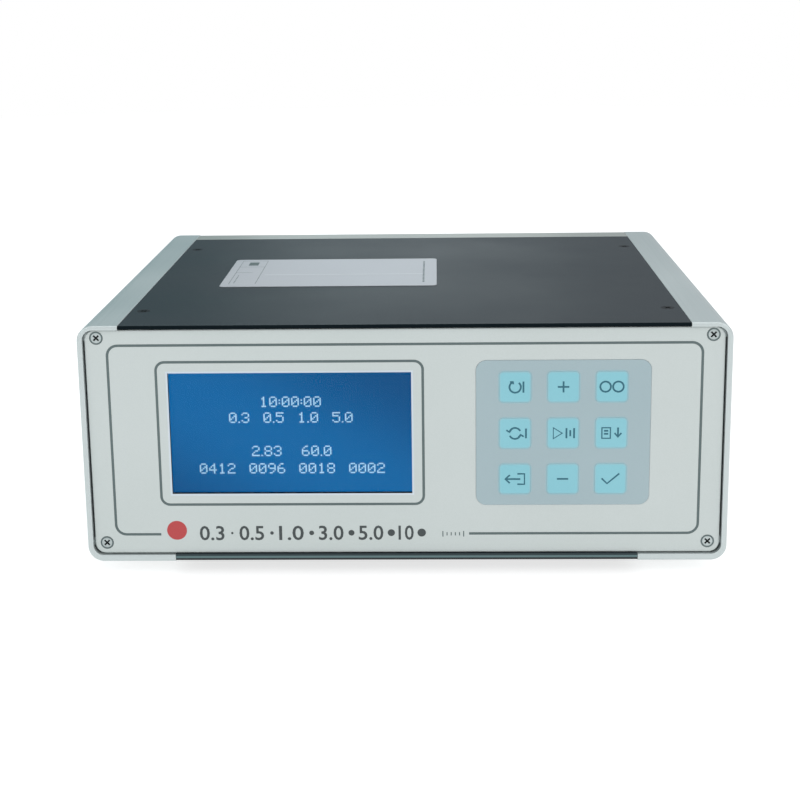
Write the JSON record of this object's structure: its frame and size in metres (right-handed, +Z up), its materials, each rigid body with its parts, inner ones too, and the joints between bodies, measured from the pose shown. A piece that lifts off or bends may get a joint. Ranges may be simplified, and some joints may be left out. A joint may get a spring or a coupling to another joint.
{
  "type": "airborne particle counter",
  "caption": "Bench-top airborne particle counter: wide flat case with a blue graphic display and a keypad on its light front panel, side rails and a black top cover.",
  "frame": {"origin": "middle of the bounding box, on the surface that the rubber feet stand on", "axes": "+Z up, the front panel faces -Y, +X to the right as seen from the front"},
  "size_m": [0.37, 0.318, 0.1493],
  "materials": {
    "rail_paint": "satin anodised",
    "cover_paint": "fine textured black",
    "panel_silver": "satin",
    "rear_silver": "satin",
    "screw_steel": "bright",
    "screw_black": "satin black",
    "foot_rubber": "matt",
    "label_silver": "satin film",
    "line_ink": "ink",
    "keypad_film": "satin film",
    "contact_sheet": "film",
    "key_cyan": "satin film",
    "window_clear": "clear",
    "display_metal": "satin silver",
    "screen_blue": "backlit",
    "backlight_white": "diffusing",
    "board_green": "solder mask",
    "ribbon_grey": "ribbon",
    "component_black": "moulded",
    "pillar_brass": "turned",
    "inlet_black": "moulded",
    "blade_nickel": "nickel",
    "fuse_glass": "clear",
    "fan_black": "moulded",
    "serial_steel": "nickel",
    "fitting_steel": "turned",
    "tube_clear": "translucent silicone",
    "filter_white": "moulded",
    "bracket_steel": "plated",
    "sensor_black": "black anodised",
    "laser_brass": "turned",
    "detector_can": "tinned",
    "blower_grey": "moulded",
    "shaft_steel": "ground",
    "motor_steel": "plated"
  },
  "bodies": {
    "case": {"left_side_rail": "rail_paint", "right_side_rail": "rail_paint", "top_cover": "cover_paint", "bottom_cover": "cover_paint", "front_panel": "panel_silver", "rear_panel": "rear_silver", "front_panel_screws": "screw_steel", "rear_panel_screws": "screw_steel", "rear_device_screws": "screw_steel", "foot_screws": "screw_steel", "cover_screws": "screw_black", "rubber_feet": "foot_rubber", "top_label": "label_silver", "border_inlay": "line_ink", "keypad_overlay": "keypad_film", "keypad_circuit": "contact_sheet", "display_window": "window_clear", "display_frame": "display_metal", "display_glass": "screen_blue", "display_backlight": "backlight_white", "display_board": "board_green", "main_board": "board_green", "power_board": "board_green", "display_ribbon": "ribbon_grey", "main_board_parts": "component_black", "power_board_parts": "component_black", "floor_pillars": "pillar_brass", "inlet_housing": "inlet_black", "inlet_pins": "blade_nickel", "fan_frame": "fan_black", "serial_port": "serial_steel", "sample_inlet": "fitting_steel", "exhaust_outlet": "fitting_steel", "sample_tube": "tube_clear", "filter_tubes": "tube_clear", "exhaust_tube": "tube_clear", "filter_capsule": "filter_white", "floor_brackets": "bracket_steel", "sensor_block": "sensor_black", "light_trap": "sensor_black", "laser_module": "laser_brass", "detector_housing": "detector_can", "blower_housing": "blower_grey", "blower_inlet_plate": "blower_grey", "blower_motor": "motor_steel"},
    "key_top_left_body": {"key_top_left": "key_cyan"},
    "key_top_centre_body": {"key_top_centre": "key_cyan"},
    "key_top_right_body": {"key_top_right": "key_cyan"},
    "key_middle_left_body": {"key_middle_left": "key_cyan"},
    "key_middle_centre_body": {"key_middle_centre": "key_cyan"},
    "key_middle_right_body": {"key_middle_right": "key_cyan"},
    "key_bottom_left_body": {"key_bottom_left": "key_cyan"},
    "key_bottom_centre_body": {"key_bottom_centre": "key_cyan"},
    "key_bottom_right_body": {"key_bottom_right": "key_cyan"},
    "fuse_carrier": {"fuse_drawer": "inlet_black", "fuse": "fuse_glass"},
    "rocker": {"power_rocker": "inlet_black"},
    "fan": {"fan_rotor": "fan_black"},
    "impeller": {"blower_impeller": "blower_grey", "blower_shaft": "shaft_steel"}
  },
  "joints": [
    {"name": "press_top_left", "type": "slide", "parent": "case", "child": "key_top_left_body", "axis": [0, 1, 0], "range_m": [0, 0.0005], "stiffness_N_per_m": 1500},
    {"name": "press_top_centre", "type": "slide", "parent": "case", "child": "key_top_centre_body", "axis": [0, 1, 0], "range_m": [0, 0.0005], "stiffness_N_per_m": 1500},
    {"name": "press_top_right", "type": "slide", "parent": "case", "child": "key_top_right_body", "axis": [0, 1, 0], "range_m": [0, 0.0005], "stiffness_N_per_m": 1500},
    {"name": "press_middle_left", "type": "slide", "parent": "case", "child": "key_middle_left_body", "axis": [0, 1, 0], "range_m": [0, 0.0005], "stiffness_N_per_m": 1500},
    {"name": "press_middle_centre", "type": "slide", "parent": "case", "child": "key_middle_centre_body", "axis": [0, 1, 0], "range_m": [0, 0.0005], "stiffness_N_per_m": 1500},
    {"name": "press_middle_right", "type": "slide", "parent": "case", "child": "key_middle_right_body", "axis": [0, 1, 0], "range_m": [0, 0.0005], "stiffness_N_per_m": 1500},
    {"name": "press_bottom_left", "type": "slide", "parent": "case", "child": "key_bottom_left_body", "axis": [0, 1, 0], "range_m": [0, 0.0005], "stiffness_N_per_m": 1500},
    {"name": "press_bottom_centre", "type": "slide", "parent": "case", "child": "key_bottom_centre_body", "axis": [0, 1, 0], "range_m": [0, 0.0005], "stiffness_N_per_m": 1500},
    {"name": "press_bottom_right", "type": "slide", "parent": "case", "child": "key_bottom_right_body", "axis": [0, 1, 0], "range_m": [0, 0.0005], "stiffness_N_per_m": 1500},
    {"name": "fuse_drawer_slide", "type": "slide", "parent": "case", "child": "fuse_carrier", "axis": [0, 1, 0], "range_m": [0, 0.018]},
    {"name": "power_rocker_tilt", "type": "hinge", "parent": "case", "child": "rocker", "pos_m": [-0.135, 0.1421, 0.0928], "axis": [1, 0, 0], "range_deg": [-20, 0]},
    {"name": "fan_spin", "type": "hinge", "parent": "case", "child": "fan", "pos_m": [-0.048, 0.126, 0.078], "axis": [0, 1, 0], "continuous": true},
    {"name": "impeller_spin", "type": "hinge", "parent": "case", "child": "impeller", "pos_m": [0.1, 0.063, 0.064], "axis": [1, 0, 0], "continuous": true}
  ]
}
